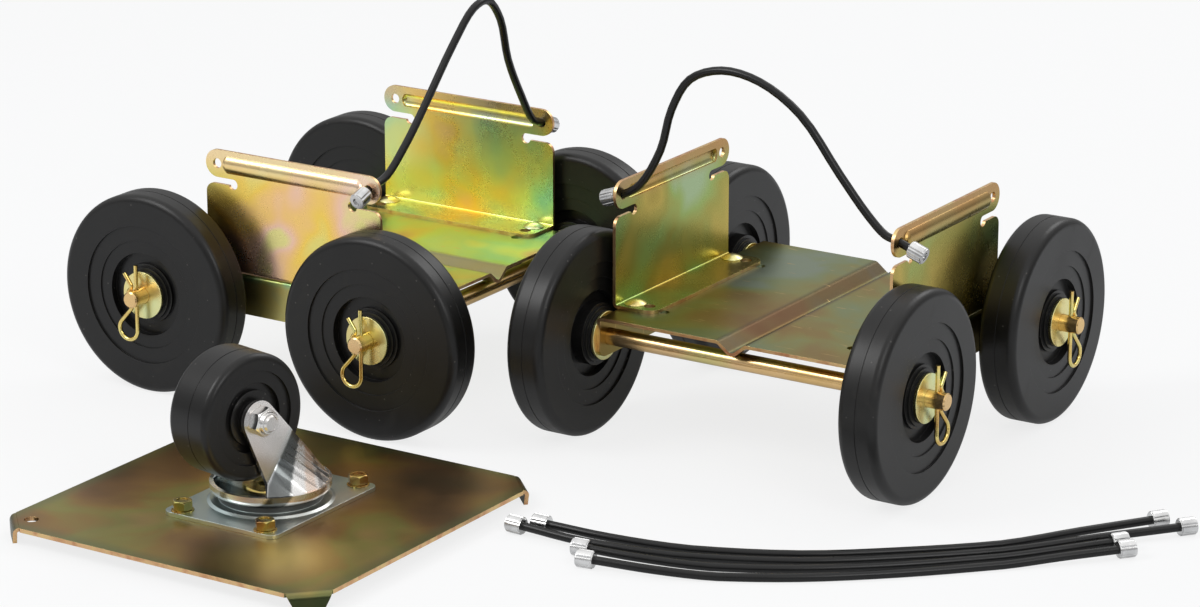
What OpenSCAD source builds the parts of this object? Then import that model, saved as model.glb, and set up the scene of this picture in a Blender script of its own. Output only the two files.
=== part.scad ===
// Set of tow-behind dollies for moving a sled on hard ground.
// Two wheeled dollies stand under the skis and a swivel pad carries the rear.
// All sizes are in millimetres. The floor is z = 0 and +Z points up.
// Each ski dolly is drawn about its own centre: X along its axles, Y along its deck.

/* [Ski wheels] */
// Diameter of each solid rubber wheel
wheel_d = 152.4; // [146:0.2:158]
// Width of the wheel rim
rim_w = 30; // [28:0.5:32]
// Distance between the two axles of a dolly
wheelbase = 205; // [186:1:226]
// Roundness of the tread shoulders
shoulder_r = 6; // [4:0.5:11]

/* [Axles] */
// Diameter of the axle rods
axle_d = 12.7; // [12:0.1:13.4]
// Outside diameter of the hub sleeves
sleeve_d = 17; // [16.5:0.5:20]
// Outside diameter of the washers
washer_d = 36; // [32:1:38]
// Thickness of the washers
washer_t = 2.4; // [2:0.1:2.6]
// Wire diameter of the hitch clips
clip_wire_d = 3.2; // [2.8:0.1:3.4]

/* [Deck] */
// Width of the folded deck over its two flanges
deck_w = 224; // [204:1:250]
// Deck metal beyond each axle centre
deck_overhang = 13; // [12:0.5:16]
// Sheet thickness of the deck and the brackets
sheet_t = 2.5; // [2.3:0.1:2.7]
// Height of the deck face above the axle centres
deck_rise = 17.3; // [16.8:0.1:18.5]
// Depth of the deck flanges below the deck face
flange_h = 31; // [29:0.5:34]
// Depth of the groove pressed along the middle of the deck
groove_d = 7.7; // [5:0.1:7.9]
// Half the width of that groove
groove_half = 12.7; // [12:0.1:16]

/* [Side brackets] */
// Length of each bracket along the deck
bracket_l = 158; // [143:1:173]
// How far the bracket centre lies from the deck centre, towards the fitted cord
bracket_shift = 11.5; // [9:0.5:13]
// Height of each bracket above the deck face
bracket_h = 93.5; // [85:0.5:103]
// Width of the bracket foot
foot_w = 35; // [32:0.5:36]
// Diameter of the strap holes
strap_hole_d = 7.5; // [7:0.1:8]
// Depth of the strengthening bead
bead_rise = 3; // [2:0.1:3.4]

/* [Rear pad] */
// Side of the square pad plate
pad_side = 267; // [260:0.5:285]
// Height of the pad face above the floor
pad_h = 13; // [12:0.5:16]
// Thickness of the pad plate
pad_t = 3; // [2.5:0.1:3.2]
// Diameter of the rope hole in one pad corner
rope_hole_d = 10; // [8:0.5:12]

/* [Caster] */
// Diameter of the caster wheel
caster_wheel_d = 88.9; // [84:0.1:92]
// Width of the caster wheel
caster_wheel_w = 38; // [34:0.5:39]
// Distance from the swivel axis to the caster wheel axis
caster_trail = 30; // [28:0.5:32]
// Angle of the caster fork about the swivel axis
caster_turn = 10.8; // [0:0.2:20]

/* [Elastic cords] */
// Diameter of the elastic cord
cord_d = 6; // [5:0.1:6]
// Diameter of the crimped cord ends
ferrule_d = 12.4; // [11:0.2:13]
// Length of the crimped cord ends
ferrule_l = 12; // [10:0.5:13]

/* [Hidden] */
// Curve quality
$fn = 48;

// Clearances
run_gap = 0.05;
side_gap = 0.3;
hub_gap = 0.6;

// Ski wheel
wheel_r = wheel_d / 2;
axle_z = wheel_r;
sleeve_r = sleeve_d / 2;
hub_out = 13;
hub_in = 20;
wheel_x = deck_w / 2 + washer_t + hub_gap + hub_in;
groove_tread = 0.4;
// Rings of the wheel section: inner radius, outer radius, inner face, outer face
wheel_rings = [
  [sleeve_r, 18, hub_in, hub_out],
  [17.9, 20.5, hub_in - 1.5, hub_out - 1.5],
  [20.4, 22.9, hub_in - 3.5, hub_out - 3.5],
  [22.8, 31.8, 7, 7],
  [31.7, 41.5, 12.5, 12.5],
  [41.4, 53, 13.5, 13.5]
];

// Axle, washers and clip
axle_r = axle_d / 2;
clip_x = wheel_x + hub_out + side_gap + washer_t + 6.8;
axle_tip = 8.5;
axle_half = clip_x + axle_tip;
clip_hole_d = clip_wire_d + 0.4;
clip_top = 25;
clip_loop_r = 8.4;
clip_hug_r = axle_r + clip_wire_d / 2 + 0.1;
clip_bend_r = 3;
clip_lean = 48;

// Deck
deck_l = wheelbase + 2 * deck_overhang;
deck_z = axle_z + deck_rise;
fold_r = 2.25;
groove_top_r = 4;
groove_low_r = 5;
flange_corner_r = 8;
axle_hole_d = axle_d + 2 * run_gap;
hole_in = 12;

// Bracket
bracket_x = deck_w / 2 + 2.5;
strap_edge = 10.5;
strap_z = bracket_h - strap_edge;
strap_pitch = bracket_l - 2 * strap_edge;
slot_w = 5;
neck_z = bracket_h - 2 * strap_edge - slot_w;
slot_r = 4;
slot_end = bracket_l / 2 - 24.7;
shoulder_corner_r = 7;
foot_corner_r = 10;
bead_r = 5.26;
bead_end = strap_pitch / 2 - strap_hole_d / 2 - 1 - 4.75;
bolt_x = bracket_x - 12.5;
bolt_y = bracket_l / 2 - 11;
bolt_d = 7.9;
bolt_hole_d = 8.5;
bolt_head_d = 16.2;
bolt_head_h = 3.4;
nut_af = 12.7;
nut_h = 6.8;

// Pad
pad_half = pad_side / 2;
pad_fold_r = 3;
tab_cut = 16;
tab_low = 9;
pad_reach = pad_half * sqrt(2) - tab_cut;
rope_in = 18;

// Caster
plate_x = 95;
plate_y = 121;
plate_t = 3;
plate_z = pad_h + plate_t;
plate_corner_r = 7;
plate_bolt_x = 35;
plate_bolt_y = 53;
dish_r = 44;
dish_h = 1.4;
race_r = 34;
ball_d = 4.4;
ball_n = 18;
kingpin_r = 7;
crown_r = 42;
crown_t = 3;
crown_z = plate_z + 6.5;
crown_rim = 8;
crown_fold_r = 3;
cover_r = 20;
caster_r = caster_wheel_d / 2;
caster_z = crown_z + 62.5;
leg_t = 3;
leg_in = caster_wheel_w / 2 + 1.6;
leg_out = leg_in + leg_t;
caster_bolt_d = 12;
caster_nut_af = 18;
caster_nut_h = 8.5;
caster_sleeve_r = 9;
// Rings of the caster wheel section: inner radius, outer radius, half width
caster_rings = [
  [caster_sleeve_r, 12, caster_wheel_w / 2 + 1.2],
  [11.9, 19, caster_wheel_w / 2 - 2.5],
  [18.9, 24.5, caster_wheel_w / 2 - 5.5],
  [24.4, 33, caster_wheel_w / 2 - 2]
];

// Layout of the three units as they stand in the picture
row_gap = 8;
pad_gap = 18.5;
left_back = 56;
pad_left = 211;
unit_l = wheelbase + wheel_d;
right_raw = [0, 0];
left_raw = [-axle_half - row_gap - unit_l / 2, -left_back];
pad_raw = [-pad_left, -left_back - axle_half - pad_gap - pad_half];
box_lo = [left_raw[0] - unit_l / 2, pad_raw[1] - pad_half];
box_hi = [axle_half, unit_l / 2];
mid = (box_lo + box_hi) / 2;
right_at = right_raw - mid;
left_at = left_raw - mid;
pad_at = pad_raw - mid;

// Routes of the fitted cords, across the dolly and up, drawn for one reach and hole height
cord_y = -bracket_shift - strap_pitch / 2;
route_reach = 114.5;
route_z = 176.5;
right_route = [
  [-117.5, 175], [-110.5, 177.5], [-98, 186], [-81, 214], [-72, 245], [-57, 269],
  [-31, 279], [0, 275], [33, 256], [65, 218], [88, 192], [102, 180], [110.5, 177.5],
  [122, 173.4]
];
left_route = [
  [-117.5, 175], [-110.5, 177.5], [-91, 182], [-67, 200], [-44, 222], [-5, 262],
  [22, 284], [41, 286], [57, 269], [67, 236], [84, 205], [100, 182], [110.5, 177.5],
  [117.5, 175]
];
// Routes of the spare cords over the floor, measured from the right dolly's centre
spare_route_1 = [
  [-36, -294, 6.2], [10, -290, 5], [66, -275, 3], [132, -244, 3], [185, -203, 3],
  [236, -155, 3], [272, -108, 5], [304, -66, 6.2]
];
spare_route_2 = [
  [-49, -306, 6.2], [-2, -306, 5], [62, -291, 3], [137, -256, 3], [191, -214, 3],
  [242, -166, 3], [288, -112, 5], [326, -68, 6.2]
];
spare_route_3 = [
  [12, -318, 6.2], [45, -312, 5], [93, -296, 3], [144, -268, 3], [197, -226, 3],
  [247, -177, 3], [276, -147, 5], [300, -119, 6.2]
];
spare_route_4 = [
  [26, -334, 6.2], [68, -325, 5], [106, -309, 3], [153, -281, 3], [205, -238, 3],
  [255, -188, 3], [284, -157, 5], [310, -129, 6.2]
];
cord_sides = 10;

// Folded sections
// A bend table lists [straight length, turn, mid-line radius] along a sheet or a wire.
// A positive turn bends to the left. The last entry only gives the final straight.
function side_of(h) = [-sin(h), cos(h)];
function along(h) = [cos(h), sin(h)];
function bent(segs, o, p, h, step = 9, i = 0) =
  i == len(segs)
  ? [p + o * side_of(h)]
  : let (
      q = p + segs[i][0] * along(h),
      a = segs[i][1],
      r = segs[i][2],
      s = sign(a),
      n = max(1, ceil(abs(a) / step)),
      c = q + s * r * side_of(h)
    )
    concat(
      segs[i][0] > 0 ? [p + o * side_of(h)] : [],
      a == 0 ? [] : [for (k = [0 : n - 1]) c + (o - s * r) * side_of(h + a * k / n)],
      bent(segs, o, a == 0 ? q : c - s * r * side_of(h + a), h + a, step, i + 1)
    );
function reversed(v) = [for (i = [len(v) - 1 : -1 : 0]) v[i]];
function strip(segs, t, p, h) =
  concat(bent(segs, t / 2, p, h), reversed(bent(segs, -t / 2, p, h)));

// Swept tubes
function unit(v) = v / norm(v);
function midpoint(p, i) =
  let (a = p[max(i - 1, 0)], b = p[i], c = p[i + 1], d = p[min(i + 2, len(p) - 1)])
  (9 * (b + c) - a - d) / 16;
function smoothed(p) = [
  for (i = [0 : len(p) - 2])
    each (i == 0 || i == len(p) - 2) ? [p[i]] : [p[i], midpoint(p, i)],
  p[len(p) - 1]
];
function heading_at(p, i) =
  i == 0 ? unit(p[1] - p[0])
  : i == len(p) - 1 ? unit(p[i] - p[i - 1])
  : unit(unit(p[i + 1] - p[i]) + unit(p[i] - p[i - 1]));
function tube_points(p, r, sides, up) =
  [for (i = [0 : len(p) - 1])
    let (t = heading_at(p, i), u = unit(cross(up, t)), w = cross(t, u))
    for (k = [0 : sides - 1])
      let (a = 360 * (k + 0.5) / sides + 72)
      p[i] + r * (cos(a) * u + sin(a) * w)];
function tube_faces(n, sides) = concat(
  [[for (k = [0 : sides - 1]) k]],
  [for (i = [0 : n - 2], k = [0 : sides - 1])
    let (a = i * sides, b = a + sides, m = (k + 1) % sides)
    each [[a + k, b + k, b + m], [a + k, b + m, a + m]]],
  [[for (k = [sides - 1 : -1 : 0]) (n - 1) * sides + k]]
);

// Places
module at_left() {
  translate([left_at[0], left_at[1], 0])
    rotate(90)
      children();
}

module at_right() {
  translate([right_at[0], right_at[1], 0])
    children();
}

module at_pad() {
  translate([pad_at[0], pad_at[1], 0])
    children();
}

module at_fork() {
  at_pad()
    rotate(-90 - caster_turn)
      children();
}

// Shared fastener shapes
module hex_prism(af, h) {
  cylinder(d = af / cos(30), h = h, $fn = 6);
}

module hex_body(af, h) {
  intersection() {
    hex_prism(af, h);
    union() {
      cylinder(d1 = af * 0.95, d2 = af * 1.16, h = h * 0.14);
      translate([0, 0, h * 0.14])
        cylinder(d = af * 1.16, h = h * 0.72);
      translate([0, 0, h * 0.86])
        cylinder(d1 = af * 1.16, d2 = af * 0.95, h = h * 0.14);
    }
  }
}

module hex_nut(af, h, bore_d) {
  difference() {
    hex_body(af, h);
    translate([0, 0, -1])
      cylinder(d = bore_d, h = h + 2);
  }
}

module ring_washer(d, bore_d, h) {
  difference() {
    cylinder(d = d, h = h);
    translate([0, 0, -1])
      cylinder(d = bore_d, h = h + 2);
  }
}

// Ski wheel, drawn with its axis along Z and its outer face up
module wheel_section() {
  difference() {
    union() {
      for (ring = wheel_rings)
        translate([ring[0], -ring[2]])
          square([ring[1] - ring[0], ring[2] + ring[3]]);
      translate([52.9, -rim_w / 2])
        square([wheel_r - shoulder_r - 52.9, rim_w]);
      translate([52.9, -rim_w / 2 + shoulder_r])
        square([wheel_r - 52.9, rim_w - 2 * shoulder_r]);
      for (s = [-1, 1])
        translate([wheel_r - shoulder_r, s * (rim_w / 2 - shoulder_r)])
          circle(shoulder_r);
    }
    translate([wheel_r - groove_tread, -0.4])
      square([2, 0.8]);
  }
}

module ski_wheel() {
  rotate_extrude($fn = 96)
    wheel_section();
}

module hub_sleeve() {
  translate([0, 0, -hub_in])
    difference() {
      cylinder(r = sleeve_r, h = hub_in + hub_out);
      translate([0, 0, -1])
        cylinder(r = axle_r + run_gap, h = hub_in + hub_out + 2);
    }
}

// Corner 1 is front right, 2 front left, 3 rear right and 4 rear left
module wheel_place(corner) {
  side = corner % 2 == 1 ? 1 : -1;
  end = corner < 3 ? -1 : 1;
  translate([side * wheel_x, end * wheelbase / 2, axle_z])
    rotate([0, side * 90, 0])
      children();
}

module each_corner() {
  for (corner = [1 : 4])
    wheel_place(corner)
      children();
}

module axle_rod(end) {
  translate([0, end * wheelbase / 2, axle_z])
    difference() {
      union() {
        rotate([0, 90, 0])
          translate([0, 0, 1 - axle_half])
            cylinder(r = axle_r, h = 2 * axle_half - 2);
        for (s = [0, 180])
          rotate([0, 90, s])
            translate([0, 0, axle_half - 1])
              cylinder(r1 = axle_r, r2 = axle_r - 1, h = 1);
      }
      for (s = [-1, 1])
        translate([s * clip_x, 0, -axle_d])
          cylinder(d = clip_hole_d, h = 2 * axle_d);
    }
}

module inner_washers() {
  each_corner()
    translate([0, 0, deck_w / 2 - wheel_x])
      ring_washer(washer_d, axle_d, washer_t);
}

module outer_washers() {
  each_corner()
    translate([0, 0, hub_out + side_gap])
      ring_washer(washer_d, axle_d, washer_t);
}

// Straight leg down through the rod, round loop, then a leg that cups the rod
clip_back = (clip_loop_r + (clip_loop_r + clip_bend_r) * sin(clip_lean)
  - (clip_hug_r + clip_bend_r) * cos(45)) / cos(clip_lean);
clip_low = (clip_hug_r + clip_bend_r) * sin(45)
  + (clip_loop_r + clip_bend_r) * cos(clip_lean) + clip_back * sin(clip_lean);
clip_table = [
  [clip_top + clip_low, 270 - clip_lean, clip_loop_r],
  [clip_back, clip_lean - 135, clip_bend_r],
  [0, 90, clip_hug_r],
  [0, -80, clip_bend_r],
  [9.5, 0, 0]
];

module hitch_clip() {
  line = [for (p = bent(clip_table, 0, [0, clip_top], -90, 20)) [0, p[0], p[1]]];
  polyhedron(tube_points(line, clip_wire_d / 2, 8, [1, 0, 0]), tube_faces(len(line), 8));
}

module hitch_clips() {
  for (end = [-1, 1], s = [-1, 1])
    translate([s * clip_x, end * wheelbase / 2, axle_z])
      hitch_clip();
}

// Folded deck with its pressed groove
groove_arm = norm([groove_half, groove_top_r + groove_low_r - groove_d]);
groove_turn = asin((groove_top_r + groove_low_r) / groove_arm)
  - atan2(groove_top_r + groove_low_r - groove_d, groove_half);
groove_flank = (groove_half - (groove_top_r + groove_low_r) * sin(groove_turn))
  / cos(groove_turn);
deck_flat = deck_w / 2 - sheet_t / 2 - fold_r - groove_half;
deck_table = [
  [flange_h - sheet_t / 2 - fold_r, -90, fold_r],
  [deck_flat, -groove_turn, groove_top_r],
  [groove_flank, 2 * groove_turn, groove_low_r],
  [groove_flank, -groove_turn, groove_top_r],
  [deck_flat, -90, fold_r],
  [flange_h - sheet_t / 2 - fold_r, 0, 0]
];

module rounded_bar(l, h, r) {
  translate([-l / 2, r])
    square([l, h - r]);
  translate([-l / 2 + r, 0])
    square([l - 2 * r, h]);
  for (s = [-1, 1])
    translate([s * (l / 2 - r), r])
      circle(r);
}

module deck_sheet() {
  difference() {
    intersection() {
      rotate([90, 0, 0])
        translate([0, 0, -deck_l / 2])
          linear_extrude(deck_l)
            polygon(strip(deck_table, sheet_t,
              [sheet_t / 2 - deck_w / 2, deck_z - flange_h], 90));
      rotate([90, 0, 90])
        translate([0, deck_z - flange_h, -deck_w])
          linear_extrude(2 * deck_w)
            rounded_bar(deck_l, flange_h + 1, flange_corner_r);
    }
    for (end = [-1, 1])
      translate([-deck_w, end * wheelbase / 2, axle_z])
        rotate([0, 90, 0])
          cylinder(d = axle_hole_d, h = 2 * deck_w);
    for (s = [-1, 1], k = [0 : 2], end = [-1, 1])
      translate([s * (bolt_x - k * hole_in), end * bolt_y - bracket_shift,
        deck_z - 2 * sheet_t])
        cylinder(d = bolt_hole_d, h = 3 * sheet_t);
  }
}

// Side bracket: outer face towards +X
module bracket_outline() {
  difference() {
    union() {
      translate([-bracket_l / 2, 0])
        square([bracket_l, neck_z - shoulder_corner_r]);
      translate([-bracket_l / 2 + shoulder_corner_r, 0])
        square([bracket_l - 2 * shoulder_corner_r, neck_z + slot_w]);
      for (s = [-1, 1])
        translate([s * (bracket_l / 2 - shoulder_corner_r), neck_z - shoulder_corner_r])
          circle(shoulder_corner_r);
      translate([-bracket_l / 2 + strap_edge, bracket_h - 2 * strap_edge])
        square([bracket_l - 2 * strap_edge, 2 * strap_edge]);
      for (s = [-1, 1])
        translate([s * (bracket_l / 2 - strap_edge), strap_z])
          circle(strap_edge);
    }
    for (s = [-1, 1]) {
      translate([s > 0 ? slot_end : -bracket_l, neck_z])
        square([bracket_l - slot_end, slot_w]);
      translate([s * slot_end, neck_z + slot_w - slot_r])
        circle(slot_r);
      translate([s * strap_pitch / 2, strap_z])
        circle(d = strap_hole_d);
    }
  }
}

module bead(r) {
  translate([bracket_x - bead_r + bead_rise, 0, deck_z + strap_z]) {
    rotate([90, 0, 0])
      cylinder(r = r, h = 2 * bead_end, center = true);
    for (s = [-1, 1])
      translate([0, s * bead_end, 0])
        sphere(r);
  }
}

module foot_outline() {
  translate([bracket_x - foot_w + foot_corner_r, -bracket_l / 2])
    square([foot_w + 20, bracket_l]);
  translate([bracket_x - foot_w, -bracket_l / 2 + foot_corner_r])
    square([foot_w, bracket_l - 2 * foot_corner_r]);
  for (s = [-1, 1])
    translate([bracket_x - foot_w + foot_corner_r, s * (bracket_l / 2 - foot_corner_r)])
      circle(foot_corner_r);
}

module bracket_body() {
  foot_table = [
    [bracket_h - sheet_t / 2 - fold_r, -90, fold_r],
    [foot_w - sheet_t / 2 - fold_r, 0, 0]
  ];
  difference() {
    union() {
      intersection() {
        rotate([90, 0, 0])
          translate([0, 0, -bracket_l / 2])
            linear_extrude(bracket_l)
              polygon(strip(foot_table, sheet_t,
                [bracket_x - sheet_t / 2, deck_z + bracket_h], -90));
        translate([0, 0, deck_z - 1])
          linear_extrude(bracket_h + 2)
            foot_outline();
        rotate([90, 0, 90])
          translate([0, deck_z, 0])
            linear_extrude(2 * bracket_x)
              bracket_outline();
      }
      intersection() {
        bead(bead_r);
        translate([bracket_x - sheet_t / 2, -bracket_l / 2, deck_z])
          cube([sheet_t / 2 + bead_r, bracket_l, bracket_h]);
      }
    }
    bead(bead_r - sheet_t);
    for (s = [-1, 1], k = [0, 1])
      translate([bolt_x - k * hole_in, s * bolt_y, deck_z - 1])
        cylinder(d = bolt_hole_d, h = 2 * sheet_t);
  }
}

module side_bracket(side) {
  translate([0, -bracket_shift, 0])
    rotate(side > 0 ? 0 : 180)
      bracket_body();
}

module each_bracket_bolt() {
  for (s = [-1, 1], end = [-1, 1])
    translate([s * bolt_x, end * bolt_y - bracket_shift, deck_z])
      children();
}

module bracket_bolts() {
  each_bracket_bolt() {
    translate([0, 0, -sheet_t - nut_h - 2])
      cylinder(d = bolt_d, h = 2 * sheet_t + nut_h + 2.5);
    intersection() {
      translate([0, 0, sheet_t])
        cylinder(d = bolt_head_d, h = bolt_head_h);
      translate([0, 0, sheet_t + bolt_head_h - 13])
        sphere(13);
    }
  }
}

module bracket_nuts() {
  each_bracket_bolt()
    translate([0, 0, -sheet_t - nut_h])
      rotate(30)
        hex_nut(nut_af, nut_h, bolt_d);
}

// Cord through the two front strap holes
// The arch keeps its form and follows the distance and height of its strap holes
function fitted(p) = [
  p[0] * bracket_x / route_reach,
  cord_y,
  p[1] + deck_z + strap_z - route_z
];

module fitted_cord(route) {
  line = [for (p = smoothed(route)) fitted(p)];
  polyhedron(tube_points(line, cord_d / 2, cord_sides, [0, 1, 0]),
    tube_faces(len(line), cord_sides));
}

// Crimped end: the closed end face stands at z = 0 and meets the cord
module ferrule() {
  difference() {
    union() {
      cylinder(d = ferrule_d - 1.2, h = ferrule_l);
      translate([0, 0, 0.8])
        cylinder(d = ferrule_d, h = ferrule_l - 1.6);
    }
    translate([0, 0, ferrule_l - 1.5])
      cylinder(d = cord_d, h = 2);
    for (a = [0 : 60 : 300])
      rotate(a)
        translate([ferrule_d / 2 + 0.6, 0, -1])
          cylinder(r = 1.3, h = ferrule_l + 2, $fn = 16);
  }
}

module spare_cord(route) {
  at_right()
    polyhedron(tube_points(route, cord_d / 2, cord_sides, [0, 0, 1]),
      tube_faces(len(route), cord_sides));
}

module ferrule_at(tip, before) {
  d = tip - before;
  translate(tip)
    rotate([0, acos(d[2] / norm(d)), atan2(d[1], d[0])])
      ferrule();
}

module fitted_ferrules(route) {
  last = len(route) - 1;
  ferrule_at(fitted(route[0]), fitted(route[1]));
  ferrule_at(fitted(route[last]), fitted(route[last - 1]));
}

// Square pad with its corners folded down as feet
// A folded corner starts where the flat plate ends
module pad_tab() {
  tab_table = [
    [0, -90, pad_fold_r],
    [pad_h - pad_t / 2 - pad_fold_r, 0, 0]
  ];
  intersection() {
    rotate([90, 0, 0])
      translate([0, 0, -tab_cut])
        linear_extrude(2 * tab_cut)
          polygon(strip(tab_table, pad_t, [pad_reach, pad_h - pad_t / 2], 0));
    rotate([90, 0, 90])
      translate([0, 0, pad_reach - 3])
        linear_extrude(15)
          polygon([
            [-tab_low, -1], [tab_low, -1], [tab_low, 0], [tab_cut - 1, pad_h - 1],
            [tab_cut - 1, pad_h + 1], [1 - tab_cut, pad_h + 1], [1 - tab_cut, pad_h - 1],
            [-tab_low, 0]
          ]);
  }
}

module corner_tabs() {
  for (a = [45 : 90 : 315])
    rotate(a)
      pad_tab();
}

module pad_sheet() {
  cut = pad_half - tab_cut * sqrt(2);
  difference() {
    translate([0, 0, pad_h - pad_t])
      linear_extrude(pad_t)
        polygon([
          [pad_half, -cut], [pad_half, cut], [cut, pad_half], [-cut, pad_half],
          [-pad_half, cut], [-pad_half, -cut], [-cut, -pad_half], [cut, -pad_half]
        ]);
    translate([rope_in - pad_half, rope_in - pad_half, 0])
      cylinder(d = rope_hole_d, h = 2 * pad_h);
    for (sx = [-1, 1], sy = [-1, 1])
      translate([sx * plate_bolt_x, sy * plate_bolt_y, 0])
        cylinder(d = bolt_hole_d, h = 2 * pad_h);
  }
}

// Caster parts
module caster_top_plate() {
  difference() {
    union() {
      translate([0, 0, pad_h])
        linear_extrude(plate_t)
          difference() {
            square([plate_x, plate_y], center = true);
            for (sx = [-1, 1], sy = [-1, 1])
              translate([sx * plate_x / 2, sy * plate_y / 2])
                difference() {
                  square(2 * plate_corner_r, center = true);
                  translate([-sx * plate_corner_r, -sy * plate_corner_r])
                    circle(plate_corner_r);
                }
          }
      translate([0, 0, plate_z])
        cylinder(r1 = dish_r, r2 = dish_r - 2, h = dish_h);
      translate([0, 0, plate_z])
        cylinder(r = race_r + 2, h = crown_z - plate_z - 1.2);
    }
    translate([0, 0, plate_z])
      rotate_extrude()
        translate([race_r - 6, crown_z - plate_z - side_gap - ball_d / 2 + 0.5])
          circle(d = ball_d + 1);
    translate([0, 0, pad_h - 1])
      cylinder(r = kingpin_r, h = 20);
    for (sx = [-1, 1], sy = [-1, 1])
      translate([sx * plate_bolt_x, sy * plate_bolt_y, pad_h - 1])
        cylinder(d = bolt_hole_d, h = 2 * plate_t);
  }
}

module each_plate_bolt() {
  for (sx = [-1, 1], sy = [-1, 1])
    translate([sx * plate_bolt_x, sy * plate_bolt_y, pad_h - pad_t])
      children();
}

module plate_bolts() {
  each_plate_bolt() {
    cylinder(d = bolt_d, h = pad_t + plate_t + nut_h + 0.4);
    translate([0, 0, -4])
      cylinder(d1 = bolt_d + 5, d2 = bolt_head_d - 1, h = 4);
  }
}

module plate_nuts() {
  each_plate_bolt()
    translate([0, 0, pad_t + plate_t])
      difference() {
        union() {
          linear_extrude(1.1)
            polygon([for (k = [0 : 35])
              (nut_af / 2 + (k % 2 == 0 ? 1.7 : 0.8)) * along(10 * k)]);
          translate([0, 0, 1.1])
            rotate(15)
              hex_body(nut_af, nut_h);
        }
        translate([0, 0, -1])
          cylinder(d = bolt_d, h = nut_h + 3);
      }
}

module race_balls() {
  for (k = [0 : ball_n - 1])
    rotate(k * 360 / ball_n)
      translate([race_r - 6, 0, crown_z - side_gap - ball_d / 2])
        sphere(d = ball_d, $fn = 32);
}

module swivel_pin() {
  translate([0, 0, pad_h])
    cylinder(r = kingpin_r, h = crown_z + crown_t + side_gap - pad_h);
  translate([0, 0, crown_z + crown_t + side_gap]) {
    cylinder(r1 = cover_r, r2 = cover_r - 1, h = 2);
    translate([0, 0, 2])
      cylinder(r1 = kingpin_r + 3, r2 = kingpin_r, h = 2);
  }
}

// The fork leg rises from the crown rim, folds at a slanted crease and stands flat
leg_foot_angles = [44, 58, 73, 88, 103, 118, 132, 146, 158];
leg_tip_r = 13.5;
crease_low = [24, leg_out, crown_z + 15];
crease_high = [0.5, leg_out, crown_z + 48.5];
// Point where a line from p touches the round leg tip, on side s
function touch(p, c, r, s) =
  let (a = atan2(p[1] - c[1], p[0] - c[0]) + s * acos(r / norm(p - c)))
  c + r * [cos(a), sin(a)];

function foot_point(a, r) = [r * cos(a), r * sin(a), crown_z + crown_rim - 2];
function crease_point(k) = crease_low + k * (crease_high - crease_low);
leg_fold = [
  for (i = [0 : len(leg_foot_angles) - 1])
    let (
      a = leg_foot_angles[i],
      c = crease_point(i / (len(leg_foot_angles) - 1)),
      top = c + [0, -leg_t / 2, 0]
    )
    each [
      foot_point(a, crown_r - 0.3),
      foot_point(a, crown_r - leg_t + 0.3),
      top + [0, -leg_t / 2, 0],
      top + [0, leg_t / 2, 0]
    ]
];

module fork_leg() {
  low = [crease_low[0], crease_low[2]];
  high = [crease_high[0], crease_high[2]];
  tip = [caster_trail, caster_z];
  difference() {
    union() {
      polyhedron(leg_fold, tube_faces(len(leg_foot_angles), 4));
      translate([0, leg_out, 0])
        rotate([90, 0, 0])
          linear_extrude(leg_t) {
            translate(tip)
              circle(leg_tip_r);
            polygon([low, high, touch(high, tip, leg_tip_r, -1), tip,
              touch(low, tip, leg_tip_r, 1)]);
          }
    }
    translate([caster_trail, 0, caster_z])
      rotate([-90, 0, 0])
        cylinder(d = caster_bolt_d, h = 40);
  }
}

crown_table = [
  [crown_r - crown_t / 2 - crown_fold_r - kingpin_r - run_gap, 90, crown_fold_r],
  [crown_rim - crown_t / 2 - crown_fold_r, 0, 0]
];

module fork() {
  rotate_extrude()
    polygon(strip(crown_table, crown_t, [kingpin_r + run_gap, crown_z + crown_t / 2], 0));
  fork_leg();
  mirror([0, 1, 0])
    fork_leg();
}

module fork_sleeve() {
  translate([caster_trail, -leg_in, caster_z])
    rotate([-90, 0, 0])
      difference() {
        cylinder(r = caster_sleeve_r - run_gap, h = 2 * leg_in);
        translate([0, 0, -1])
          cylinder(d = caster_bolt_d, h = 2 * leg_in + 2);
      }
}

module axle_bolt() {
  translate([caster_trail, 0, caster_z])
    rotate([-90, 0, 0]) {
      translate([0, 0, -leg_out])
        cylinder(d = caster_bolt_d, h = 2 * leg_out + caster_nut_h + 2.8);
      translate([0, 0, leg_out + caster_nut_h + 2.8])
        cylinder(d1 = caster_bolt_d, d2 = caster_bolt_d - 2.5, h = 1.3);
      translate([0, 0, -leg_out - 7.5])
        intersection() {
          hex_prism(caster_nut_af, 7.5);
          cylinder(d1 = caster_nut_af * 0.97, d2 = caster_nut_af * 1.45, h = 7.5);
        }
    }
}

module axle_nut() {
  translate([caster_trail, leg_out, caster_z])
    rotate([-90, 15, 0]) {
      hex_nut(caster_nut_af, caster_nut_h, caster_bolt_d);
      translate([0, 0, caster_nut_h])
        difference() {
          cylinder(d1 = caster_nut_af * 0.9, d2 = caster_nut_af * 0.82, h = 3);
          translate([0, 0, -1])
            cylinder(d = caster_bolt_d, h = 5);
        }
    }
}

module caster_section() {
  half = caster_wheel_w / 2;
  difference() {
    union() {
      for (ring = caster_rings)
        translate([ring[0], -ring[2]])
          square([ring[1] - ring[0], 2 * ring[2]]);
      translate([32.9, -half])
        square([caster_r - 5 - 32.9, 2 * half]);
      translate([32.9, -half + 5])
        square([caster_r - 32.9, 2 * half - 10]);
      for (s = [-1, 1])
        translate([caster_r - 5, s * (half - 5)])
          circle(5);
    }
    translate([caster_r - 0.3, 1.6])
      square([2, 0.8]);
  }
}

module pad_caster_wheel() {
  translate([caster_trail, 0, caster_z])
    rotate([-90, 0, 0])
      rotate_extrude($fn = 96)
        caster_section();
}

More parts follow.
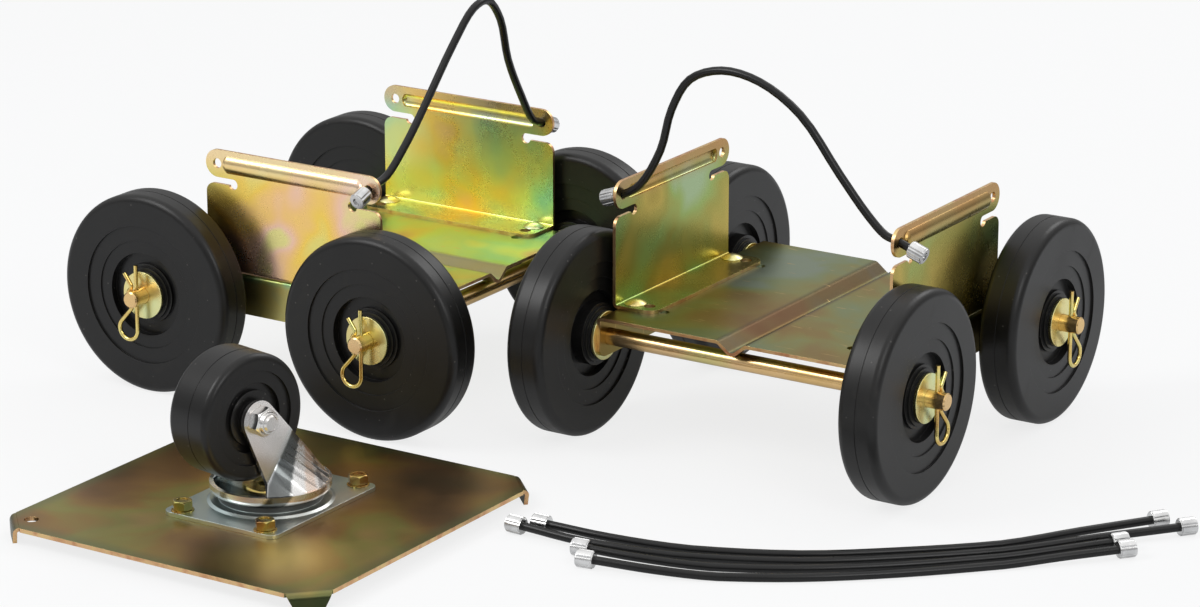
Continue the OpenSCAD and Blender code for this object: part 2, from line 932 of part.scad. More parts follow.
// Left dolly
module left_deck() at_left() color("darkkhaki") deck_sheet();
module left_bracket_1() at_left() color("goldenrod") side_bracket(1);
module left_bracket_2() at_left() color("goldenrod") side_bracket(-1);
module left_bracket_bolts() at_left() color("khaki") bracket_bolts();
module left_bracket_nuts() at_left() color("khaki") bracket_nuts();
module left_axle_1() at_left() color("tan") axle_rod(-1);
module left_axle_2() at_left() color("tan") axle_rod(1);
module left_wheel_1() at_left() color("dimgray") wheel_place(1) ski_wheel();
module left_wheel_2() at_left() color("dimgray") wheel_place(2) ski_wheel();
module left_wheel_3() at_left() color("dimgray") wheel_place(3) ski_wheel();
module left_wheel_4() at_left() color("dimgray") wheel_place(4) ski_wheel();
module left_sleeve_1() at_left() color("silver") wheel_place(1) hub_sleeve();
module left_sleeve_2() at_left() color("silver") wheel_place(2) hub_sleeve();
module left_sleeve_3() at_left() color("silver") wheel_place(3) hub_sleeve();
module left_sleeve_4() at_left() color("silver") wheel_place(4) hub_sleeve();
module left_inner_washers() at_left() color("palegoldenrod") inner_washers();
module left_outer_washers() at_left() color("palegoldenrod") outer_washers();
module left_hitch_clips() at_left() color("gold") hitch_clips();
module left_cord() at_left() color("black") fitted_cord(left_route);
module left_cord_ferrules() at_left() color("silver") fitted_ferrules(left_route);

// Right dolly
module right_deck() at_right() color("darkkhaki") deck_sheet();
module right_bracket_1() at_right() color("goldenrod") side_bracket(1);
module right_bracket_2() at_right() color("goldenrod") side_bracket(-1);
module right_bracket_bolts() at_right() color("khaki") bracket_bolts();
module right_bracket_nuts() at_right() color("khaki") bracket_nuts();
module right_axle_1() at_right() color("tan") axle_rod(-1);
module right_axle_2() at_right() color("tan") axle_rod(1);
module right_wheel_1() at_right() color("dimgray") wheel_place(1) ski_wheel();
module right_wheel_2() at_right() color("dimgray") wheel_place(2) ski_wheel();
module right_wheel_3() at_right() color("dimgray") wheel_place(3) ski_wheel();
module right_wheel_4() at_right() color("dimgray") wheel_place(4) ski_wheel();
module right_sleeve_1() at_right() color("silver") wheel_place(1) hub_sleeve();
module right_sleeve_2() at_right() color("silver") wheel_place(2) hub_sleeve();
module right_sleeve_3() at_right() color("silver") wheel_place(3) hub_sleeve();
module right_sleeve_4() at_right() color("silver") wheel_place(4) hub_sleeve();
module right_inner_washers() at_right() color("palegoldenrod") inner_washers();
module right_outer_washers() at_right() color("palegoldenrod") outer_washers();
module right_hitch_clips() at_right() color("gold") hitch_clips();
module right_cord() at_right() color("black") fitted_cord(right_route);
module right_cord_ferrules() at_right() color("silver") fitted_ferrules(right_route);

// Pad and caster
module pad_plate() at_pad() color("darkkhaki") pad_sheet();
module pad_tabs() at_pad() color("darkkhaki") corner_tabs();
module caster_plate() at_pad() color("lightsteelblue") caster_top_plate();
module caster_plate_bolts() at_pad() color("khaki") plate_bolts();
module caster_plate_nuts() at_pad() color("khaki") plate_nuts();
module caster_balls() at_pad() color("silver") race_balls();
module caster_kingpin() at_pad() color("darkgoldenrod") swivel_pin();
module caster_fork() at_fork() color("lightsteelblue") fork();
module caster_sleeve() at_fork() color("silver") fork_sleeve();
module caster_axle_bolt() at_fork() color("silver") axle_bolt();
module caster_axle_nut() at_fork() color("silver") axle_nut();
module caster_wheel() at_fork() color("dimgray") pad_caster_wheel();

// Spare cords
module spare_cord_1() color("black") spare_cord(spare_route_1);
module spare_cord_2() color("black") spare_cord(spare_route_2);
module spare_cord_3() color("black") spare_cord(spare_route_3);
module spare_cord_4() color("black") spare_cord(spare_route_4);
module spare_ferrules() {
  color("silver")
    at_right()
      for (route = [spare_route_1, spare_route_2, spare_route_3, spare_route_4]) {
        last = len(route) - 1;
        ferrule_at(route[0], route[1]);
        ferrule_at(route[last], route[last - 1]);
      }
}

left_deck();
left_bracket_1();
left_bracket_2();
left_bracket_bolts();
left_bracket_nuts();
left_axle_1();
left_axle_2();
left_wheel_1();
left_wheel_2();
left_wheel_3();
left_wheel_4();
left_sleeve_1();
left_sleeve_2();
left_sleeve_3();
left_sleeve_4();
left_inner_washers();
left_outer_washers();
left_hitch_clips();
left_cord();
left_cord_ferrules();
right_deck();
right_bracket_1();
right_bracket_2();
right_bracket_bolts();
right_bracket_nuts();
right_axle_1();
right_axle_2();
right_wheel_1();
right_wheel_2();
right_wheel_3();
right_wheel_4();
right_sleeve_1();
right_sleeve_2();
right_sleeve_3();
right_sleeve_4();
right_inner_washers();
right_outer_washers();
right_hitch_clips();
right_cord();
right_cord_ferrules();
pad_plate();
pad_tabs();
caster_plate();
caster_plate_bolts();
caster_plate_nuts();
caster_balls();
caster_kingpin();
caster_fork();
caster_sleeve();
caster_axle_bolt();
caster_axle_nut();
caster_wheel();
spare_cord_1();
spare_cord_2();
spare_cord_3();
spare_cord_4();
spare_ferrules();
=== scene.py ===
import math

import bpy
from bpy.props import FloatProperty, FloatVectorProperty, PointerProperty
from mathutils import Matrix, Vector


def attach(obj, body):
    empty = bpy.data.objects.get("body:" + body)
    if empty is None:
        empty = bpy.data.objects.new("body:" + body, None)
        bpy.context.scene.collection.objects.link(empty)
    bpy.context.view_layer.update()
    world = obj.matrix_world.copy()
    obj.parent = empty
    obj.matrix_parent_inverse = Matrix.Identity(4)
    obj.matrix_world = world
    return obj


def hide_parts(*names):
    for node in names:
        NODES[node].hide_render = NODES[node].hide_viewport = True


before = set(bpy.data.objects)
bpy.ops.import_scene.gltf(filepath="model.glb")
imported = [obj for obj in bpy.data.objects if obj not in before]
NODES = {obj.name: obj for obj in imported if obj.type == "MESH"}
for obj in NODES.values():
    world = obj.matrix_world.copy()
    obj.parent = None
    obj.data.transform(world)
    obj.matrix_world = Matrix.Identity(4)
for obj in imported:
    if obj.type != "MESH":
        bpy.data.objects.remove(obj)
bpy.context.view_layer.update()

bl_info = {
    "name": "Sled Dolly Set",
    "version": (1, 0, 0),
    "blender": (4, 5, 0),
    "location": "View3D > Sidebar > Sled Dolly",
    "description": "Dresses the ski dollies, the caster pad and the elastic cords",
    "category": "Object",
}

ROOT = "set_frame"

# Where the three units stand, as in the part's source, in metres
RIGHT = Vector((0.1827, 0.1644, 0.0))
LEFT = Vector((-0.1700, 0.1084, 0.0))
PAD = Vector((-0.0283, -0.2096, 0.0))

# Places in a ski dolly's own frame, with x along its axles and y along its deck
AXLE_Z = 0.0762
AXLE_Y = 0.1025
CLIP_X = 0.1575
CORD_Y = -0.080
DECK_TOP = 0.0935
GROOVE_FLANK = 0.0065  # about the middle of the groove's sloping sides
FLANGE_FOOT = 0.0640  # just above the flanges' lower cut faces
FOOT_TOP = 0.0980  # just above the brackets' feet
FOOT_INSIDE = 0.1075  # nearer the middle than this, the brackets' feet are flat
BRACKET_MIDDLE = 0.14  # about half-way up the brackets

# The brackets' pressed bead
BEAD = Vector((0.11224, -0.0115, 0.1765))  # middle of its axis
BEAD_HALF = 0.0590  # half of its straight part
BEAD_R = 0.00526  # radius of its outer face
BEAD_SHEET = 0.0025  # thickness of the sheet
BEAD_INSIDE = 0.85  # share by which its inner face is widened
BEAD_OUTSIDE = 0.38  # share by which its outer face is widened
BEAD_FADE = 0.00475  # past the straight part, the widening ends in this length

# The pad and its caster
PAD_HALF = 0.1335
PAD_TOP = 0.0130
PAD_HIGHLIGHT = Vector((0.066, -0.086, 0.0))  # a painted highlight, from the pad's middle
CROWN_R = 0.0415  # just inside the rim of the fork's crown
LEG_RISE = 1.38  # slope of the fork's swept legs
CASTER_TURN = math.radians(10.8)  # how far the fork is turned at rest

# The camera
PICTURE_WIDTH = 1200.0  # in pixels
PICTURE_FOCAL = 4084.8  # in pixels
SENSOR = 36.0  # in millimetres
CAMERA = Vector((1.3973, -2.4663, 0.9768))  # from the right dolly
HEADING = Vector((-0.5396, 0.8419, 0.0))
PITCH = 0.3029  # how far it looks down, in radians

# The lamps: place, size and power, and the point that they all face
LAMPS = {
    "key": ((-1.3, -1.6, 2.1), 1.4, 26.0),
    "fill": ((1.9, -1.0, 1.5), 1.0, 9.0),
    "rim": ((0.4, 2.0, 1.8), 1.2, 10.0),
}
LAMP_AIM = Vector((-0.05, -0.05, 0.08))

# How meshes are cleaned and smoothed, in metres and degrees
MERGE = 0.000002
FLAT = 0.4
SMOOTH = 34.0
ROUND_SMOOTH = 50.0
FINE_EDGE = 0.0002
SMALL_EDGE = 0.0003
ROUND_EDGE = 0.0004

# How cords, their ends and clips are made
CORD_STEPS = 4  # steps of the line from one point of a route to the next
CORD_ROUND = 5  # bevel resolution of the cords
CLIP_ROUND = 4  # bevel resolution of the clips
FERRULE_REACH = 0.0145  # all of a crimped end lies this near to its cord's end

# Routes of the fitted cords, as in the part's source: across the dolly and up, in millimetres
RIGHT_ROUTE = [
    (-117.5, 175), (-110.5, 177.5), (-98, 186), (-81, 214), (-72, 245), (-57, 269),
    (-31, 279), (0, 275), (33, 256), (65, 218), (88, 192), (102, 180), (110.5, 177.5),
    (122, 173.4),
]
LEFT_ROUTE = [
    (-117.5, 175), (-110.5, 177.5), (-91, 182), (-67, 200), (-44, 222), (-5, 262),
    (22, 284), (41, 286), (57, 269), (67, 236), (84, 205), (100, 182), (110.5, 177.5),
    (117.5, 175),
]

# Routes of the spare cords, as in the part's source: from the right dolly's place, in millimetres
SPARE_ROUTES = [
    [(-36, -294, 6.2), (10, -290, 5), (66, -275, 3), (132, -244, 3), (185, -203, 3),
     (236, -155, 3), (272, -108, 5), (304, -66, 6.2)],
    [(-49, -306, 6.2), (-2, -306, 5), (62, -291, 3), (137, -256, 3), (191, -214, 3),
     (242, -166, 3), (288, -112, 5), (326, -68, 6.2)],
    [(12, -318, 6.2), (45, -312, 5), (93, -296, 3), (144, -268, 3), (197, -226, 3),
     (247, -177, 3), (276, -147, 5), (300, -119, 6.2)],
    [(26, -334, 6.2), (68, -325, 5), (106, -309, 3), (153, -281, 3), (205, -238, 3),
     (255, -188, 3), (284, -157, 5), (310, -129, 6.2)],
]


def unit_point(side, x, y, z):
    """A point of a ski dolly's own frame, in the shared frame."""
    if side == "left":
        return LEFT + Vector((-y, x, z))
    return RIGHT + Vector((x, y, z))


def unit_axes(side, point):
    """A point of the shared frame, in the ski dolly's own frame."""
    if side == "left":
        p = point - LEFT
        return Vector((p.y, -p.x, p.z))
    return point - RIGHT


def unit_direction(side, d):
    """A direction of the shared frame, in the ski dolly's own frame."""
    return Vector((d.y, -d.x, d.z)) if side == "left" else Vector(d)


# Finishes


class Amount:
    """A number socket that takes plain arithmetic."""

    def __init__(self, shading, socket):
        self.shading = shading
        self.socket = socket

    def _maths(self, operation, a, b=None):
        return self.shading.maths(operation, a, b)

    def __add__(self, other):
        return self._maths("ADD", self, other)

    def __radd__(self, other):
        return self._maths("ADD", other, self)

    def __sub__(self, other):
        return self._maths("SUBTRACT", self, other)

    def __rsub__(self, other):
        return self._maths("SUBTRACT", other, self)

    def __mul__(self, other):
        return self._maths("MULTIPLY", self, other)

    def __rmul__(self, other):
        return self._maths("MULTIPLY", other, self)

    def __pow__(self, other):
        return self._maths("POWER", self, other)

    def __rpow__(self, other):
        return self._maths("POWER", other, self)

    def __gt__(self, other):
        return self._maths("GREATER_THAN", self, other)

    def __lt__(self, other):
        return self._maths("LESS_THAN", self, other)

    def __abs__(self):
        return self._maths("ABSOLUTE", self)

    def clamped(self):
        """The same number, kept between 0 and 1."""
        return self.shading.amount(
            "ShaderNodeClamp", {}, {"Value": self, "Min": 0.0, "Max": 1.0}
        )

    def step(self, low, high):
        """0 below low, 1 above high and smooth between."""
        return self.shading.amount(
            "ShaderNodeMapRange",
            {"interpolation_type": "SMOOTHSTEP"},
            {"Value": self, "From Min": low, "From Max": high, "To Min": 0.0, "To Max": 1.0},
        )


class Shading:
    """An empty node tree, whose nodes all come from one method."""

    def __init__(self, owner):
        owner.use_nodes = True
        self.tree = owner.node_tree
        self.tree.nodes.clear()

    def node(self, kind, settings=None, inputs=None):
        """A new node: its settings first, then the values or links of its sockets."""
        made = self.tree.nodes.new(kind)
        for key, value in (settings or {}).items():
            if key == "stops":
                ramp = made.color_ramp
                while len(ramp.elements) < len(value):
                    ramp.elements.new(0.5)
                for element, (position, colour) in zip(ramp.elements, value):
                    element.position = position
                    element.color = (*colour, 1.0)
            else:
                setattr(made, key, value)
        for key, value in (inputs or {}).items():
            self.feed(self.socket(made, key), value)
        return made

    def socket(self, node, key):
        """The node's input with that identifier, or else with that name or number."""
        for socket in node.inputs:
            if socket.identifier == key:
                return socket
        return node.inputs[key]

    def feed(self, socket, value):
        """Links another node's output to the socket, or sets a plain value on it."""
        if isinstance(value, Amount):
            value = value.socket
        if isinstance(value, bpy.types.NodeSocket):
            self.tree.links.new(value, socket)
        elif hasattr(value, "__len__") and len(value) == 3 and socket.type == "RGBA":
            socket.default_value = (*value, 1.0)
        else:
            socket.default_value = value

    def amount(self, kind, settings, inputs):
        """A new node's first output, as a number."""
        return Amount(self, self.node(kind, settings, inputs).outputs[0])

    def maths(self, operation, a, b=None):
        """One Math node over one or two numbers."""
        made = self.node("ShaderNodeMath", {"operation": operation})
        self.feed(made.inputs[0], a)
        if b is not None:
            self.feed(made.inputs[1], b)
        return Amount(self, made.outputs[0])


class Finish(Shading):
    """A procedural finish: a Principled shader and the nodes that feed it."""

    def __init__(self, name):
        self.material = bpy.data.materials.new(name)
        super().__init__(self.material)
        self.shader = self.node("ShaderNodeBsdfPrincipled")
        self.output = self.node(
            "ShaderNodeOutputMaterial", {}, {"Surface": self.shader.outputs[0]}
        )
        self.place = self.node("ShaderNodeTexCoord").outputs["Object"]

    def noise(self, scale, detail=3.0, distortion=0.0, stretch=(1, 1, 1), shift=(0, 0, 0)):
        """Soft noise over the surface, about 0.5 on average."""
        where = self.place
        if stretch != (1, 1, 1) or shift != (0, 0, 0):
            where = self.node(
                "ShaderNodeMapping", {}, {"Vector": where, "Scale": stretch, "Location": shift},
            ).outputs[0]
        return self.amount(
            "ShaderNodeTexNoise",
            {},
            {"Vector": where, "Scale": scale, "Detail": detail, "Distortion": distortion},
        )

    def axis(self, name, centre=0.0):
        """The place along one axis, in metres from the centre given."""
        parts = self.node("ShaderNodeSeparateXYZ", {}, {"Vector": self.place})
        return Amount(self, parts.outputs[name]) - centre

    def ramp(self, amount, stops):
        """A colour between stops of position and colour."""
        return self.node("ShaderNodeValToRGB", {"stops": stops}, {"Fac": amount}).outputs[0]

    def mix(self, amount, a, b):
        """Colour a where the amount is 0, and colour b where it is 1."""
        made = self.node(
            "ShaderNodeMix",
            {"data_type": "RGBA"},
            {"Factor_Float": amount, "A_Color": a, "B_Color": b},
        )
        return made.outputs[2]

    def set(self, **values):
        """Feeds the shader's sockets, by short names."""
        names = {
            "colour": "Base Color", "roughness": "Roughness", "metallic": "Metallic",
            "specular": "Specular IOR Level",
        }
        for key, value in values.items():
            self.feed(self.shader.inputs[names[key]], value)
        return self

    def bump(self, height, strength, distance):
        """A fine relief in the light only."""
        made = self.node(
            "ShaderNodeBump", {}, {"Height": height, "Strength": strength, "Distance": distance}
        )
        self.feed(self.shader.inputs["Normal"], made.outputs[0])
        return self


FINISHES = {}


def finish(name):
    """The material of that name, made once from its recipe."""
    if name not in FINISHES:
        FINISHES[name] = RECIPES[name](name).material
    return FINISHES[name]


def colours():
    """The colours set in the panel."""
    return bpy.context.scene.sled_colours


def sizes():
    """The sizes set in the panel."""
    return bpy.context.scene.sled_sizes


def passivated(f, stops, shift, patch, cloud=17.0, gain=2.4, bias=None):
    """The thin yellow film on zinc: its thickness drifts, and its colour with it."""
    drift = f.noise(patch, 2.0, 0.8, shift=shift)
    fine = f.noise(cloud, 2.5, 0.9, shift=shift)
    film = (drift - 0.5) * gain + (fine - 0.5) * (gain * 0.32) + 0.5
    if bias is not None:
        film = film + bias
    return f.ramp(film.clamped(), stops)


def plated(f, film, rough, wear=26.0):
    """A rolled sheet under its plating: even sheen, fine grain and a soft drift of gloss."""
    fine = f.noise(900.0, 2.0)
    dull = f.noise(wear, 3.0, 0.3)
    shade = 0.90 + dull * 0.10 + fine * 0.06
    f.set(
        colour=f.mix(shade.clamped(), (0.0, 0.0, 0.0), film),
        metallic=1.0,
        roughness=(rough + (dull - 0.5) * 0.14 + (fine - 0.5) * 0.05).clamped(),
    )
    return f.bump(fine, 0.02, 0.00005)


def deck_plating(name):
    """Each deck's film, with painted shade in its groove, and browner on its flanges."""
    f = Finish(name)
    # The right deck's stops are much darker than the left deck's: partly the film's own colour,
    # partly painted shade for the weaker light on the right dolly.
    if name.startswith("right"):
        across = f.axis("X", RIGHT.x)
        depth = f.axis("Y", RIGHT.y)
        stops = [
            (0.00, (0.190, 0.075, 0.018)), (0.26, (0.265, 0.155, 0.030)),
            (0.46, tuple(colours().deck)), (0.64, (0.270, 0.250, 0.062)),
            (0.82, (0.230, 0.270, 0.115)), (1.00, (0.240, 0.290, 0.200)),
        ]
        bias = depth * 1.9 + across * 0.1
        shift = (0.3, 1.1, 0.0)
        painted_groove_shade = (0.045, 0.015, 0.009)
        fold = (0.340, 0.230, 0.060)
    else:
        across = f.axis("Y", LEFT.y)
        depth = f.axis("X", LEFT.x) * -1.0
        stops = [
            (0.00, (0.560, 0.340, 0.110)), (0.22, (0.600, 0.540, 0.110)),
            (0.42, (0.440, 0.640, 0.190)), (0.60, (0.380, 0.640, 0.320)),
            (0.78, (0.600, 0.660, 0.200)), (1.00, (0.680, 0.420, 0.230)),
        ]
        bias = depth * 1.0
        shift = (2.3, 0.4, 0.0)
        painted_groove_shade = (0.240, 0.160, 0.080)
        fold = (0.640, 0.440, 0.130)
    film = passivated(f, stops, shift, patch=6.0, gain=3.0, bias=bias)
    # Painted shade: the groove's sloping sides are darkened towards a near-black film.
    groove = 1.0 - abs(abs(across) - GROOVE_FLANK).step(0.003, 0.009)
    film = f.mix(groove * 0.85, film, painted_groove_shade)
    below = 1.0 - f.axis("Z", DECK_TOP).step(-0.007, -0.001)
    flange = below * abs(across).step(0.05, 0.06)
    film = f.mix(flange * 0.7, film, fold)
    scratch = f.noise(60.0, 1.0, 0.0, stretch=(1.0, 7.0, 1.0)).step(0.735, 0.76)
    film = f.mix(scratch * 0.6, film, (0.62, 0.42, 0.16))
    return plated(f, film, 0.33)


def bracket_plating(name):
    """Each dolly's brackets, whose top from the bead upwards has a colour of its own: a film tint,
    with a pale painted highlight over the bead on the left near bracket.
    """
    f = Finish(name)
    height = f.axis("Z", BRACKET_MIDDLE)
    # The right brackets' stops are much darker than the left ones: partly the film's own colour,
    # partly painted shade for the weaker light on the right dolly.
    if name.startswith("left"):
        near = f.axis("Y", LEFT.y) * -1.0
        stops = [
            (0.00, (0.380, 0.660, 0.540)), (0.15, (0.500, 0.740, 0.400)),
            (0.34, (0.760, 0.800, 0.280)), (0.58, tuple(colours().bracket)),
            (0.76, (0.950, 0.600, 0.250)), (0.90, (0.930, 0.600, 0.440)),
            (1.00, (0.840, 0.760, 0.300)),
        ]
        shift = (0.7, 0.2, 0.5)
        far = 1.0 - near.step(-0.06, 0.06)
        bias = height * 0.7 + near * 0.5 - 0.06 - f.axis("X", LEFT.x) * far * 1.9 - far * 0.06
        # On the near bracket the pale colour over the bead is a painted highlight; on the far
        # bracket it is an amber film.
        lip_tint_and_highlight = f.mix(near.step(-0.08, 0.08), (0.930, 0.500, 0.190), (0.970, 0.800, 0.600))
    else:
        right = f.axis("X", RIGHT.x)
        stops = [
            (0.00, (0.300, 0.230, 0.040)), (0.22, (0.360, 0.270, 0.050)),
            (0.42, (0.520, 0.400, 0.085)), (0.60, (0.380, 0.350, 0.075)),
            (0.78, (0.330, 0.440, 0.130)), (1.00, (0.380, 0.500, 0.280)),
        ]
        shift = (3.1, 0.9, 0.2)
        bias = height * 1.5 - right * 1.3 + f.axis("Y", RIGHT.y) * 0.8
        lip_tint_and_highlight = (0.540, 0.230, 0.120)
    film = passivated(f, stops, shift, patch=7.0, cloud=15.0, bias=bias)
    rim = f.axis("Z", BEAD.z).step(-0.0125, 0.0075) * 0.60
    film = f.mix(rim, film, lip_tint_and_highlight)
    return plated(f, film, 0.27)


def pad_plating(name):
    """The pad's brown film, with one painted highlight and dark borders and corners."""
    f = Finish(name)
    x, y = f.axis("X", PAD.x), f.axis("Y", PAD.y)
    stops = [
        (0.00, (0.155, 0.105, 0.050)), (0.26, (0.220, 0.125, 0.055)),
        (0.48, tuple(colours().pad)), (0.66, (0.360, 0.225, 0.070)),
        (0.82, (0.330, 0.300, 0.085)), (1.00, (0.420, 0.300, 0.110)),
    ]
    near = (x - y) * 0.5
    film = passivated(f, stops, (1.7, 2.2, 0.0), patch=6.0, cloud=16.0, gain=2.2, bias=near)
    # Painted highlight: a round golden glow on the pad, fading out over about six centimetres.
    away = (x - PAD_HIGHLIGHT.x) ** 2.0 + (y - PAD_HIGHLIGHT.y) ** 2.0
    patch = 1.0 - f.maths("SQRT", away).step(0.008, 0.062)
    film = f.mix(patch * 0.85, film, (0.960, 0.720, 0.230))
    border = (f.maths("MAXIMUM", abs(x), abs(y)) - PAD_HALF).step(-0.0145, -0.0005)
    film = f.mix(border * 0.65, film, (0.190, 0.215, 0.095))
    fold = 1.0 - f.axis("Z", PAD_TOP).step(-0.0035, 0.0008)
    film = f.mix(fold * 0.92, film, (0.030, 0.042, 0.018))
    return plated(f, film, 0.36)


def edge_plating(name):
    """Blotched film on the cut edges of the sheets."""
    f = Finish(name)
    blotch = f.noise(90.0, 4.0, 0.6)
    film = f.ramp(blotch, [
        (0.30, (0.560, 0.270, 0.140)), (0.50, tuple(colours().edge)), (0.70, (0.760, 0.580, 0.260)),
    ])
    return plated(f, film, 0.34)


def small_plating(name):
    """Golden film on the bracket nuts, the clips and the kingpin."""
    f = Finish(name)
    film = passivated(f, [
        (0.00, (0.620, 0.340, 0.110)), (0.35, tuple(colours().fastener)),
        (0.65, (0.860, 0.720, 0.260)), (1.00, (0.560, 0.620, 0.250)),
    ], (0.2, 0.3, 0.7), patch=50.0, cloud=120.0, gain=1.5)
    return plated(f, film, 0.20, wear=80.0)


def nut_plating(name):
    """Brown film on the caster plate's bolts and nuts."""
    f = Finish(name)
    film = passivated(f, [
        (0.00, (0.300, 0.160, 0.070)), (0.35, (0.440, 0.270, 0.090)),
        (0.65, (0.520, 0.400, 0.130)), (1.00, (0.300, 0.320, 0.110)),
    ], (0.4, 0.8, 0.1), patch=60.0, cloud=140.0, gain=1.6)
    return plated(f, film, 0.22, wear=80.0)


def washer_plating(name):
    """Pale film on the washers and the bracket bolts."""
    f = Finish(name)
    film = passivated(f, [
        (0.00, (0.800, 0.600, 0.220)), (0.40, tuple(colours().washer)),
        (0.70, (0.780, 0.820, 0.420)), (1.00, (0.640, 0.780, 0.520)),
    ], (0.6, 0.1, 0.2), patch=22.0, cloud=60.0, gain=1.4)
    return plated(f, film, 0.28, wear=60.0)


def axle_plating(name):
    """Reddish film on the axle rods."""
    f = Finish(name)
    film = passivated(f, [
        (0.00, (0.560, 0.440, 0.120)), (0.30, (0.780, 0.520, 0.210)),
        (0.60, (0.840, 0.580, 0.300)), (1.00, (0.660, 0.650, 0.250)),
    ], (0.9, 0.9, 0.3), patch=9.0, cloud=26.0, gain=1.8)
    return plated(f, film, 0.24, wear=50.0)


def zinc_plate(name):
    """Bright zinc, with a darker plate under the swivel and a painted shadow under its crown, and
    painted reflection bands on the fork's legs.
    """
    f = Finish(name)
    cloud = f.noise(16.0, 2.0, 0.4)
    tint = f.noise(10.0, 2.0, 0.4)
    grain = f.noise(1100.0, 2.0)
    if name != "zinc_base":
        low, middle, high = (0.640, 0.710, 0.710), tuple(colours().zinc), (0.830, 0.760, 0.710)
        rough = 0.24
    else:
        low, middle, high = (0.430, 0.520, 0.520), (0.520, 0.590, 0.580), (0.640, 0.640, 0.600)
        rough = 0.33
    base = f.ramp(tint, [(0.34, low), (0.50, middle), (0.66, high)])
    shade = (0.90 + cloud * 0.12 + grain * 0.04).clamped()
    film = f.mix(shade, (0.0, 0.0, 0.0), base)
    if name == "zinc_fork":
        # Painted light along the pressed sweep of each leg, from its crease down to the crown: a
        # highlight on the flat part, the wheel's dark reflection at the crease, a warm reflection,
        # then shade at the heel
        sine, cosine = math.sin(CASTER_TURN), math.cos(CASTER_TURN)
        back = f.axis("X", PAD.x) * sine + f.axis("Y", PAD.y) * cosine
        sweep = f.axis("Z") - back * LEG_RISE
        flat = sweep.step(0.072, 0.080)
        film = f.mix(flat * 0.6, film, (0.960, 0.900, 0.870))
        painted_crease_reflection = 1.0 - abs(sweep - 0.0610).step(0.0075, 0.0115)
        film = f.mix(painted_crease_reflection * 0.88, film, (0.060, 0.070, 0.070))
        painted_warm_reflection = 1.0 - abs(sweep - 0.0290).step(0.0040, 0.0100)
        film = f.mix(painted_warm_reflection * 0.55, film, (0.780, 0.560, 0.420))
        painted_heel_shade = 1.0 - abs(sweep - 0.0130).step(0.0020, 0.0060)
        film = f.mix(painted_heel_shade * 0.60, film, (0.160, 0.150, 0.140))
    shine = 1.0
    if name == "zinc_base":
        x, y = f.axis("X", PAD.x), f.axis("Y", PAD.y)
        # Painted shadow: under the crown's rim the plate turns nearly black and loses most of its
        # shine.
        painted_crown_shadow = 1.0 - (f.maths("SQRT", x * x + y * y) - CROWN_R).step(0.0, 0.0025)
        painted_crown_shadow = painted_crown_shadow * f.axis("Z", PAD_TOP).step(0.0044, 0.0050)
        film = f.mix(painted_crown_shadow * 0.92, film, (0.015, 0.014, 0.012))
        shine = 1.0 - painted_crown_shadow * 0.9
    f.set(
        colour=film,
        metallic=shine,
        roughness=(rough + (cloud - 0.5) * 0.12 + (grain - 0.5) * 0.06).clamped(),
    )
    return f.bump(grain, 0.03, 0.00005)


def moulded_rubber(name):
    """Solid black tyres with faint scuffs and a few specks of dust."""
    f = Finish(name)
    cloud = f.noise(14.0, 4.0, 0.6)
    grain = f.noise(600.0, 3.0)
    base = f.ramp(cloud, [(0.32, (0.0045, 0.0042, 0.0040)), (0.68, tuple(colours().rubber))])
    dots = f.node(
        "ShaderNodeTexVoronoi", {"feature": "F1"}, {"Vector": f.place, "Scale": 260.0}
    )
    chance = Amount(f, f.node(
        "ShaderNodeSeparateColor", {}, {"Color": dots.outputs["Color"]}
    ).outputs[0])
    dust = (Amount(f, dots.outputs["Distance"]) < 0.16) * (chance > 0.93)
    scuff = f.noise(34.0, 6.0, 0.8).step(0.60, 0.80)
    base = f.mix(scuff * 0.30, base, (0.030, 0.027, 0.023))
    base = f.mix(dust * 0.45, base, (0.13, 0.12, 0.11))
    f.set(colour=base, roughness=(0.36 + (cloud - 0.5) * 0.20 + scuff * 0.12).clamped())
    f.set(specular=0.36)
    return f.bump(grain, 0.10, 0.0002)


def elastic_rubber(name):
    """The cords' smooth black rubber."""
    f = Finish(name)
    grain = f.noise(420.0, 3.0)
    cloud = f.noise(40.0, 3.0)
    base = f.ramp(cloud, [(0.3, (0.0035, 0.0035, 0.0035)), (0.7, tuple(colours().cord))])
    f.set(colour=base, roughness=(0.30 + (cloud - 0.5) * 0.15).clamped())
    f.set(specular=0.36)
    return f.bump(grain, 0.08, 0.0002)


def crimped_metal(name):
    """The plain metal of the cords' ends and of the swivel's balls."""
    f = Finish(name)
    cloud = f.noise(90.0, 2.0, 0.3)
    grain = f.noise(1200.0, 2.0)
    base = f.ramp(cloud, [(0.32, (0.560, 0.560, 0.560)), (0.62, tuple(colours().ferrule))])
    f.set(
        colour=base, metallic=1.0,
        roughness=(0.24 + (cloud - 0.5) * 0.12 + (grain - 0.5) * 0.06).clamped(),
    )
    return f.bump(grain, 0.04, 0.0001)


RECIPES = {
    "left_deck_plating": deck_plating,
    "right_deck_plating": deck_plating,
    "left_bracket_plating": bracket_plating,
    "right_bracket_plating": bracket_plating,
    "pad_plating": pad_plating,
    "edge_plating": edge_plating,
    "small_plating": small_plating,
    "nut_plating": nut_plating,
    "washer_plating": washer_plating,
    "axle_plating": axle_plating,
    "zinc_plate": zinc_plate,
    "zinc_fork": zinc_plate,
    "zinc_base": zinc_plate,
    "moulded_rubber": moulded_rubber,
    "elastic_rubber": elastic_rubber,
    "crimped_metal": crimped_metal,
}


# Shapes


